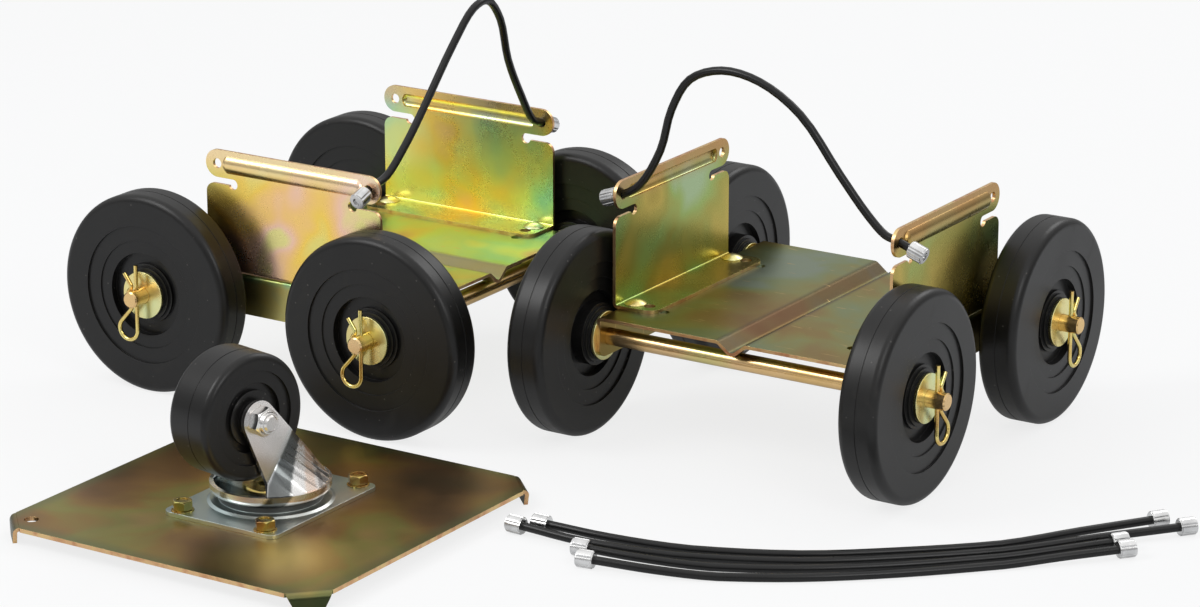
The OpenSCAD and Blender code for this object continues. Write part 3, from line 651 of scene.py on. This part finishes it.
def choose(*pieces):
    """Only these pieces are selected, and the first is active."""
    if bpy.context.object and bpy.context.object.mode != "OBJECT":
        bpy.ops.object.mode_set(mode="OBJECT")
    bpy.ops.object.select_all(action="DESELECT")
    for piece in pieces:
        piece.select_set(True)
    if pieces:
        bpy.context.view_layer.objects.active = pieces[0]


def new_piece(name, mesh):
    """A new object with that mesh, chosen alone."""
    piece = bpy.data.objects.new(name, mesh)
    bpy.context.scene.collection.objects.link(piece)
    choose(piece)
    return piece


def apply_modifier(piece, kind, **settings):
    """One modifier with its settings, applied to the mesh."""
    modifier = piece.modifiers.new(kind.title(), kind)
    for key, value in settings.items():
        setattr(modifier, key, value)
    choose(piece)
    bpy.ops.object.modifier_apply(modifier=modifier.name)


def soften(piece, width, angle=30.0):
    """Small rounded edges, as a press or a mould leaves them."""
    apply_modifier(
        piece, "BEVEL", width=width, segments=2, limit_method="ANGLE",
        angle_limit=math.radians(angle), harden_normals=False, miter_outer="MITER_ARC",
    )
    choose(piece)
    bpy.ops.object.shade_smooth_by_angle(angle=math.radians(SMOOTH))
    apply_modifier(piece, "WEIGHTED_NORMAL", keep_sharp=True, weight=80)


def merged_copy(name, node):
    """A CAD node's mesh as a new piece, with its loose triangles joined up."""
    piece = new_piece(name, NODES[node].data.copy())
    bpy.ops.object.mode_set(mode="EDIT")
    bpy.ops.mesh.select_all(action="SELECT")
    bpy.ops.mesh.remove_doubles(threshold=MERGE)
    bpy.ops.object.mode_set(mode="OBJECT")
    return piece


def dress(name, nodes, body, coat, width, edge=None, angle=30.0, shape=None):
    """CAD nodes fused in one piece, with softened edges and a finish, in their place."""
    nodes = [nodes] if isinstance(nodes, str) else nodes
    piece, *others = [merged_copy(name, node) for node in nodes]
    for other in others:
        apply_modifier(piece, "BOOLEAN", operation="UNION", solver="EXACT", object=other)
        bpy.data.objects.remove(other)
    choose(piece)
    bpy.ops.object.mode_set(mode="EDIT")
    bpy.ops.mesh.select_all(action="SELECT")
    bpy.ops.mesh.remove_doubles(threshold=MERGE)
    bpy.ops.mesh.dissolve_limited(angle_limit=math.radians(FLAT))
    bpy.ops.object.mode_set(mode="OBJECT")
    if shape is not None:
        shape(piece)
    piece.data.materials.clear()
    piece.data.materials.append(finish(coat))
    if edge is not None:
        piece.data.materials.append(finish("edge_plating"))
        for face in piece.data.polygons:
            if edge(face.center, face.normal):
                face.material_index = 1
    if width > 0:
        soften(piece, width, angle)
    else:
        choose(piece)
        bpy.ops.object.shade_smooth_by_angle(angle=math.radians(SMOOTH))
    return settle(piece, nodes, body)


def settle(piece, nodes, body):
    """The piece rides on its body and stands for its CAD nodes."""
    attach(piece, body)
    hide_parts(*nodes)
    return piece


def curved_line(points, steps):
    """A smooth line through points whose spacing may be uneven."""
    points = [Vector(p) for p in points]
    line = []
    for i in range(len(points) - 1):
        a = points[i - 1] if i else 2 * points[0] - points[1]
        b, c = points[i], points[i + 1]
        d = points[i + 2] if i + 2 < len(points) else 2 * points[-1] - points[-2]
        ab, bc, cd = ((q - p).length ** 0.5 for p, q in ((a, b), (b, c), (c, d)))
        t1, t2 = ab, ab + bc
        t3 = t2 + cd
        for k in range(steps):
            t = t1 + bc * k / steps
            p = a * ((t1 - t) / t1) + b * (t / t1)
            q = b * ((t2 - t) / bc) + c * ((t - t1) / bc)
            r = c * ((t3 - t) / cd) + d * ((t - t2) / cd)
            u = p * ((t2 - t) / t2) + q * (t / t2)
            v = q * ((t3 - t) / (t3 - t1)) + r * ((t - t1) / (t3 - t1))
            line.append(u * ((t2 - t) / bc) + v * ((t - t1) / bc))
    line.append(points[-1])
    return line


def line_length(line):
    """The length of a line of points."""
    return sum((q - p).length for p, q in zip(line, line[1:]))


def tube(name, lines, diameter, resolution, coat):
    """Round wire or cord along each line, with closed ends."""
    verts, edges = [], []
    for line in lines:
        edges += [(len(verts) + i, len(verts) + i + 1) for i in range(len(line) - 1)]
        verts += [tuple(p) for p in line]
    mesh = bpy.data.meshes.new(name)
    mesh.from_pydata(verts, edges, [])
    piece = new_piece(name, mesh)
    bpy.ops.object.convert(target="CURVE")
    piece = bpy.context.object
    piece.data.bevel_depth = diameter / 2
    piece.data.bevel_resolution = resolution
    piece.data.use_fill_caps = True
    bpy.ops.object.convert(target="MESH")
    piece = bpy.context.object
    piece.name = name
    piece.data.materials.clear()
    piece.data.materials.append(finish(coat))
    bpy.ops.object.mode_set(mode="EDIT")
    bpy.ops.mesh.select_all(action="SELECT")
    bpy.ops.mesh.remove_doubles(threshold=MERGE / 2)
    bpy.ops.mesh.normals_make_consistent(inside=False)
    bpy.ops.object.mode_set(mode="OBJECT")
    bpy.ops.object.shade_smooth_by_angle(angle=math.radians(ROUND_SMOOTH))
    return piece


def bent_wire(table, start, heading, step):
    """Points along a bend table of (straight, turn, radius), at least one each step of a turn."""
    x, y = start
    points = [(x, y)]
    for straight, turn, radius in table:
        if straight > 0:
            x += straight * math.cos(math.radians(heading))
            y += straight * math.sin(math.radians(heading))
            points.append((x, y))
        if not turn:
            continue
        r = radius if turn > 0 else -radius
        cx = x - r * math.sin(math.radians(heading))
        cy = y + r * math.cos(math.radians(heading))
        count = math.ceil(abs(turn) / step)
        for k in range(1, count + 1):
            h = math.radians(heading + turn * k / count)
            points.append((cx + r * math.sin(h), cy - r * math.cos(h)))
        heading += turn
        x, y = points[-1]
    return points


def clip_line():
    """The hitch clip's wire, seen along the axle, in millimetres and degrees."""
    loop, bend, hug = 8.4, 3.0, 8.05
    top, tail = 25.0, 9.5
    lean, hold, flare = 48, 90, 80
    rise, run = math.sin(math.radians(lean)), math.cos(math.radians(lean))
    reach = (hug + bend) * math.sin(math.radians(hold / 2))
    back = (loop + (loop + bend) * rise - reach) / run
    low = reach + (loop + bend) * run + back * rise
    table = [
        (top + low, 270 - lean, loop), (back, lean - 180 + hold / 2, bend), (0, hold, hug),
        (0, -flare, bend), (tail, 0, 0),
    ]
    return bent_wire(table, (0.0, top), -90.0, 9.0)


# Settings


class SledColours(bpy.types.PropertyGroup):
    """Main colours of the finishes"""

    deck: FloatVectorProperty(
        name="Deck", description="Middle colour of the right deck's plating",
        subtype="COLOR", min=0.0, max=1.0, default=(0.280, 0.195, 0.040))
    bracket: FloatVectorProperty(
        name="Brackets", description="Middle colour of the left brackets' plating",
        subtype="COLOR", min=0.0, max=1.0, default=(0.960, 0.660, 0.130))
    pad: FloatVectorProperty(
        name="Pad", description="Middle colour of the pad's plating",
        subtype="COLOR", min=0.0, max=1.0, default=(0.300, 0.165, 0.065))
    edge: FloatVectorProperty(
        name="Cut edges", description="Plating on the cut edges of the sheets",
        subtype="COLOR", min=0.0, max=1.0, default=(0.740, 0.470, 0.240))
    fastener: FloatVectorProperty(
        name="Fasteners", description="Plating of bracket nuts, clips and kingpin",
        subtype="COLOR", min=0.0, max=1.0, default=(0.800, 0.560, 0.180))
    washer: FloatVectorProperty(
        name="Washers", description="Plating of the washers and bracket bolts",
        subtype="COLOR", min=0.0, max=1.0, default=(0.860, 0.740, 0.320))
    zinc: FloatVectorProperty(
        name="Bright zinc", description="Plating of the fork, its bolt and the sleeves",
        subtype="COLOR", min=0.0, max=1.0, default=(0.760, 0.775, 0.775))
    rubber: FloatVectorProperty(
        name="Wheels", description="Moulded rubber of the wheels",
        subtype="COLOR", min=0.0, max=1.0, default=(0.0090, 0.0085, 0.0080))
    cord: FloatVectorProperty(
        name="Cords", description="Rubber of the elastic cords",
        subtype="COLOR", min=0.0, max=1.0, default=(0.0060, 0.0060, 0.0060))
    ferrule: FloatVectorProperty(
        name="Cord ends", description="Crimped metal of the cord ends",
        subtype="COLOR", min=0.0, max=1.0, default=(0.720, 0.720, 0.715))


class SledSizes(bpy.types.PropertyGroup):
    """Sizes of the details that this file adds"""

    sheet_edge: FloatProperty(
        name="Sheet edge", description="Rounding of the sheets' cut edges",
        unit="LENGTH", min=0.0001, max=0.001, default=0.0003)
    wheel_edge: FloatProperty(
        name="Wheel rings", description="Rounding of the steps in the wheels' faces",
        unit="LENGTH", min=0.0001, max=0.0015, default=0.00025)
    cord: FloatProperty(
        name="Cord", description="Diameter of the elastic cords",
        unit="LENGTH", min=0.004, max=0.006, default=0.006)
    clip_wire: FloatProperty(
        name="Clip wire", description="Diameter of the hitch clips' wire",
        unit="LENGTH", min=0.0028, max=0.0034, default=0.0032)


# Pieces


def deck_edge(side):
    """Tells the cut faces at the deck's two ends and under its flanges."""
    def test(centre, normal):
        n = unit_direction(side, normal)
        p = unit_axes(side, centre)
        return abs(n.y) > 0.9 and abs(p.y) > 0.1 or n.z < -0.9 and p.z < FLANGE_FOOT
    return test


def bracket_edge(side):
    """Tells the cut faces round the upright sheet and round its foot."""
    def test(centre, normal):
        n = unit_direction(side, normal)
        p = unit_axes(side, centre)
        if p.z > FOOT_TOP:
            return abs(n.x) < 0.3
        return abs(n.z) < 0.3 and abs(p.x) < FOOT_INSIDE or abs(n.y) > 0.95
    return test


def wide_bead(side):
    """Widens the pressed bead on both faces of the sheet, less and less past its straight part."""
    def shape(piece):
        for vertex in piece.data.vertices:
            p = unit_axes(side, vertex.co)
            x, z = abs(p.x) - BEAD.x, p.z - BEAD.z
            past = max(0.0, abs(p.y - BEAD.y) - BEAD_HALF)
            # The flat sheet behind the bead and around it stays
            if x < -0.0006 or max(abs(z), past) > BEAD_R + 0.0001:
                continue
            inside = math.hypot(x, z, past) < BEAD_R - BEAD_SHEET / 2
            fade = max(0.0, 1.0 - past / BEAD_FADE)
            vertex.co.z += z * fade * (BEAD_INSIDE if inside else BEAD_OUTSIDE)
    return shape


def pad_edge(centre, normal):
    """Tells the pad's four cut sides and the cut faces of its folded corners."""
    p = centre - PAD
    if max(abs(p.x), abs(p.y)) > PAD_HALF - 0.0003 and abs(normal.z) < 0.7:
        return True
    along = Vector((-math.copysign(1.0, p.y), math.copysign(1.0, p.x), 0.0)).normalized()
    return abs(normal.dot(along)) > 0.6 or centre.z < 0.0005


class SLED_OT_stage(bpy.types.Operator):
    """Camera, floor, soft studio light and white background"""

    bl_idname = "sled.stage"
    bl_label = "Stage"

    def execute(self, context):
        context.scene.view_settings.view_transform = "Standard"
        self.floor(context)
        self.world(context)
        for name, (place, size, power) in LAMPS.items():
            self.lamp(context, name, place, size, power)
        self.camera(context)
        return {"FINISHED"}

    def floor(self, context):
        """A matt floor that looks white and leaves only soft shadows."""
        choose()
        bpy.ops.mesh.primitive_plane_add(size=14.0, location=(0, 0, 0))
        floor = context.object
        floor.name = "floor"
        f = Finish("floor")
        f.set(colour=(0.86, 0.86, 0.86), roughness=0.9, specular=0.0)
        glow = f.node("ShaderNodeEmission", {}, {"Color": (1.0, 1.0, 1.0), "Strength": 1.0})
        seen = f.node("ShaderNodeLightPath")
        shown = Amount(f, seen.outputs["Is Camera Ray"]) * 0.80
        shown = shown + Amount(f, seen.outputs["Is Glossy Ray"]) * 0.25
        both = f.node(
            "ShaderNodeMixShader",
            {},
            {0: shown.clamped(), 1: f.shader.outputs[0], 2: glow.outputs[0]},
        )
        f.feed(f.output.inputs["Surface"], both.outputs[0])
        floor.data.materials.append(f.material)

    def world(self, context):
        """White to the camera, even to matt surfaces and brighter overhead in reflections."""
        context.scene.world = bpy.data.worlds.new("studio")
        w = Shading(context.scene.world)
        ray = w.node("ShaderNodeLightPath").outputs
        white = w.node("ShaderNodeBackground", {}, {"Color": (1.0, 1.0, 1.0), "Strength": 1.0})
        soft = w.node("ShaderNodeBackground", {}, {"Color": (0.93, 0.96, 1.0), "Strength": 0.62})
        where = w.node("ShaderNodeTexCoord").outputs["Generated"]
        height = w.node("ShaderNodeSeparateXYZ", {}, {"Vector": where}).outputs["Z"]
        rise = w.amount(
            "ShaderNodeMapRange",
            {},
            {"Value": height, "From Min": 0.0, "From Max": 0.95, "To Min": 0.34, "To Max": 1.5},
        )
        dome = w.node("ShaderNodeBackground", {}, {"Strength": rise})
        mirrored = w.node(
            "ShaderNodeMixShader",
            {},
            {0: ray["Is Glossy Ray"], 1: soft.outputs[0], 2: dome.outputs[0]},
        )
        seen = w.node(
            "ShaderNodeMixShader",
            {},
            {0: ray["Is Camera Ray"], 1: mirrored.outputs[0], 2: white.outputs[0]},
        )
        w.node("ShaderNodeOutputWorld", {}, {"Surface": seen.outputs[0]})

    def lamp(self, context, name, place, size, power):
        """A round soft lamp that faces the set."""
        choose()
        bpy.ops.object.light_add(type="AREA", location=place)
        lamp = context.object
        lamp.name = name
        lamp.data.shape = "DISK"
        lamp.data.size = size
        lamp.data.energy = power
        lamp.rotation_euler = (LAMP_AIM - Vector(place)).to_track_quat("-Z", "Y").to_euler()

    def camera(self, context):
        """The picture's own view."""
        data = bpy.data.cameras.new("camera")
        data.sensor_fit = "HORIZONTAL"
        data.sensor_width = SENSOR
        data.lens = SENSOR * PICTURE_FOCAL / PICTURE_WIDTH
        data.clip_end = 50.0
        camera = bpy.data.objects.new("camera", data)
        context.scene.collection.objects.link(camera)
        camera.location = RIGHT + CAMERA
        ahead = HEADING * math.cos(PITCH) - Vector((0.0, 0.0, math.sin(PITCH)))
        camera.rotation_euler = ahead.to_track_quat("-Z", "Y").to_euler()
        context.scene.camera = camera


class SLED_OT_fitted_cords(bpy.types.Operator):
    """The two elastic cords that hold a ski, each between its crimped ends"""

    bl_idname = "sled.fitted_cords"
    bl_label = "Fitted cords"

    def execute(self, context):
        for side, route in (("left", LEFT_ROUTE), ("right", RIGHT_ROUTE)):
            points = [unit_point(side, x / 1000, CORD_Y, z / 1000) for x, z in route]
            line = curved_line(points, CORD_STEPS)
            cord = tube(f"{side}_elastic_cord", [line], sizes().cord, CORD_ROUND, "elastic_rubber")
            settle(cord, [f"{side}_cord"], ROOT)
            ends = dress(
                f"{side}_cord_ends", f"{side}_cord_ferrules", ROOT, "crimped_metal",
                ROUND_EDGE)
            line_length(line)
        return {"FINISHED"}


class SLED_OT_spare_cords(bpy.types.Operator):
    """Four spare elastic cords side by side on the floor"""

    bl_idname = "sled.spare_cords"
    bl_label = "Spare cords"

    def execute(self, context):
        for number, route in enumerate(SPARE_ROUTES, 1):
            points = [RIGHT + Vector(p) / 1000 for p in route]
            low = sizes().cord / 2
            line = [Vector((p.x, p.y, max(p.z, low))) for p in curved_line(points, CORD_STEPS)]
            cord = tube(
                f"spare_elastic_cord_{number}", [line], sizes().cord, CORD_ROUND,
                "elastic_rubber")
            settle(cord, [f"spare_cord_{number}"], ROOT)
            ends = self.ends(number, line)
            line_length(line)
        return {"FINISHED"}

    def ends(self, number, line):
        """This cord's two crimped ends, out of the node that holds all eight."""
        piece = dress(
            f"spare_cord_ends_{number}", "spare_ferrules", ROOT, "crimped_metal",
            0.0)
        choose(piece)
        mesh = piece.data
        bpy.ops.object.mode_set(mode="EDIT")
        bpy.ops.mesh.select_all(action="DESELECT")
        bpy.ops.object.mode_set(mode="OBJECT")
        for vertex in mesh.vertices:
            nearest = min((vertex.co - line[0]).length, (vertex.co - line[-1]).length)
            vertex.select = nearest > FERRULE_REACH
        bpy.ops.object.mode_set(mode="EDIT")
        bpy.ops.mesh.delete(type="VERT")
        bpy.ops.object.mode_set(mode="OBJECT")
        soften(piece, ROUND_EDGE)
        return piece


class SLED_OT_decks(bpy.types.Operator):
    """The two folded decks with their pressed groove"""

    bl_idname = "sled.decks"
    bl_label = "Decks"

    def execute(self, context):
        for side in ("left", "right"):
            dress(f"{side}_folded_deck", f"{side}_deck", ROOT, f"{side}_deck_plating",
                  sizes().sheet_edge, deck_edge(side))
        return {"FINISHED"}


class SLED_OT_brackets(bpy.types.Operator):
    """The four side brackets"""

    bl_idname = "sled.brackets"
    bl_label = "Side brackets"

    def execute(self, context):
        for side in ("left", "right"):
            for number in (1, 2):
                dress(f"{side}_side_bracket_{number}", f"{side}_bracket_{number}", ROOT,
                      f"{side}_bracket_plating", sizes().sheet_edge,
                      bracket_edge(side), shape=wide_bead(side))
        return {"FINISHED"}


class SLED_OT_fasteners(bpy.types.Operator):
    """Bolts and nuts of the brackets and of the caster plate"""

    bl_idname = "sled.fasteners"
    bl_label = "Bolts and nuts"

    def execute(self, context):
        for side in ("left", "right"):
            dress(f"{side}_bolts", f"{side}_bracket_bolts", ROOT, "washer_plating",
                  ROUND_EDGE)
            dress(f"{side}_nuts", f"{side}_bracket_nuts", ROOT, "small_plating",
                  FINE_EDGE)
        dress("pad_bolts", "caster_plate_bolts", ROOT, "nut_plating",
              SMALL_EDGE)
        dress("pad_nuts", "caster_plate_nuts", ROOT, "nut_plating",
              FINE_EDGE)
        return {"FINISHED"}


class SLED_OT_axles(bpy.types.Operator):
    """Axle rods and their washers"""

    bl_idname = "sled.axles"
    bl_label = "Axles and washers"

    def execute(self, context):
        for side in ("left", "right"):
            for number in (1, 2):
                dress(f"{side}_axle_rod_{number}", f"{side}_axle_{number}", ROOT,
                      "axle_plating", SMALL_EDGE)
            for place in ("inner", "outer"):
                dress(f"{side}_{place}_plain_washers", f"{side}_{place}_washers", ROOT,
                      "washer_plating", ROUND_EDGE)
        return {"FINISHED"}


class SLED_OT_clips(bpy.types.Operator):
    """The bent wire clips through the axle ends"""

    bl_idname = "sled.clips"
    bl_label = "Hitch clips"

    def execute(self, context):
        shape = clip_line()
        for side in ("left", "right"):
            lines = [
                [unit_point(side, x, end + y / 1000, AXLE_Z + z / 1000) for y, z in shape]
                for x in (-CLIP_X, CLIP_X) for end in (-AXLE_Y, AXLE_Y)
            ]
            clips = tube(f"{side}_wire_clips", lines, sizes().clip_wire, CLIP_ROUND,
                         "small_plating")
            settle(clips, [f"{side}_hitch_clips"], ROOT)
        return {"FINISHED"}


class SLED_OT_wheels(bpy.types.Operator):
    """The eight solid wheels with their hub sleeves"""

    bl_idname = "sled.wheels"
    bl_label = "Ski wheels"

    def execute(self, context):
        for side in ("left", "right"):
            for number in range(1, 5):
                body = f"{side}_wheel_{number}_body"
                dress(f"{side}_solid_wheel_{number}", f"{side}_wheel_{number}", body,
                      "moulded_rubber", sizes().wheel_edge, angle=40.0)
                dress(f"{side}_hub_sleeve_{number}", f"{side}_sleeve_{number}", body,
                      "zinc_plate", FINE_EDGE)
        return {"FINISHED"}


class SLED_OT_pad(bpy.types.Operator):
    """The square pad and the caster's fixed plate"""

    bl_idname = "sled.pad"
    bl_label = "Pad and caster plate"

    def execute(self, context):
        dress("square_pad", ["pad_plate", "pad_tabs"], ROOT, "pad_plating",
              sizes().sheet_edge, pad_edge)
        dress("swivel_plate", "caster_plate", ROOT, "zinc_base", ROUND_EDGE)
        dress("swivel_balls", "caster_balls", ROOT, "crimped_metal", 0.0)
        dress("swivel_pin", "caster_kingpin", ROOT, "small_plating",
              SMALL_EDGE)
        return {"FINISHED"}


class SLED_OT_caster(bpy.types.Operator):
    """The swivelling fork, its bolt and nut, and the caster wheel"""

    bl_idname = "sled.caster"
    bl_label = "Caster"

    def execute(self, context):
        fork = "caster_fork_body"
        dress("swivel_fork", "caster_fork", fork, "zinc_fork", ROUND_EDGE)
        dress("wheel_sleeve", "caster_sleeve", fork, "zinc_plate", FINE_EDGE)
        dress("wheel_bolt", "caster_axle_bolt", fork, "zinc_plate", SMALL_EDGE)
        dress("wheel_nut", "caster_axle_nut", fork, "zinc_plate", SMALL_EDGE)
        dress("solid_caster_wheel", "caster_wheel", "caster_wheel_body", "moulded_rubber",
              sizes().wheel_edge, angle=40.0)
        return {"FINISHED"}


class SLED_PT_panel(bpy.types.Panel):
    """Sizes, colours and pieces of the dolly set"""

    bl_idname = "SLED_PT_panel"
    bl_label = "Sled Dolly Set"
    bl_space_type = "VIEW_3D"
    bl_region_type = "UI"
    bl_category = "Sled Dolly"

    def draw(self, context):
        layout = self.layout
        for group in (context.scene.sled_sizes, context.scene.sled_colours):
            box = layout.box()
            for name in group.__annotations__:
                box.prop(group, name)
        for operator in OPERATORS:
            layout.operator(operator.bl_idname)


OPERATORS = (
    SLED_OT_stage, SLED_OT_fitted_cords, SLED_OT_spare_cords, SLED_OT_decks, SLED_OT_brackets,
    SLED_OT_fasteners, SLED_OT_axles, SLED_OT_clips, SLED_OT_wheels, SLED_OT_pad,
    SLED_OT_caster,
)
CLASSES = (SledColours, SledSizes, *OPERATORS, SLED_PT_panel)


def register():
    for made in CLASSES:
        bpy.utils.register_class(made)
    bpy.types.Scene.sled_colours = PointerProperty(type=SledColours)
    bpy.types.Scene.sled_sizes = PointerProperty(type=SledSizes)


def unregister():
    del bpy.types.Scene.sled_sizes
    del bpy.types.Scene.sled_colours
    for made in reversed(CLASSES):
        bpy.utils.unregister_class(made)


def main():
    register()
    bpy.ops.sled.stage()
    bpy.ops.sled.fitted_cords()
    bpy.ops.sled.spare_cords()
    bpy.ops.sled.decks()
    bpy.ops.sled.brackets()
    bpy.ops.sled.fasteners()
    bpy.ops.sled.axles()
    bpy.ops.sled.clips()
    bpy.ops.sled.wheels()
    bpy.ops.sled.pad()
    bpy.ops.sled.caster()


if __name__ == "__main__":
    main()
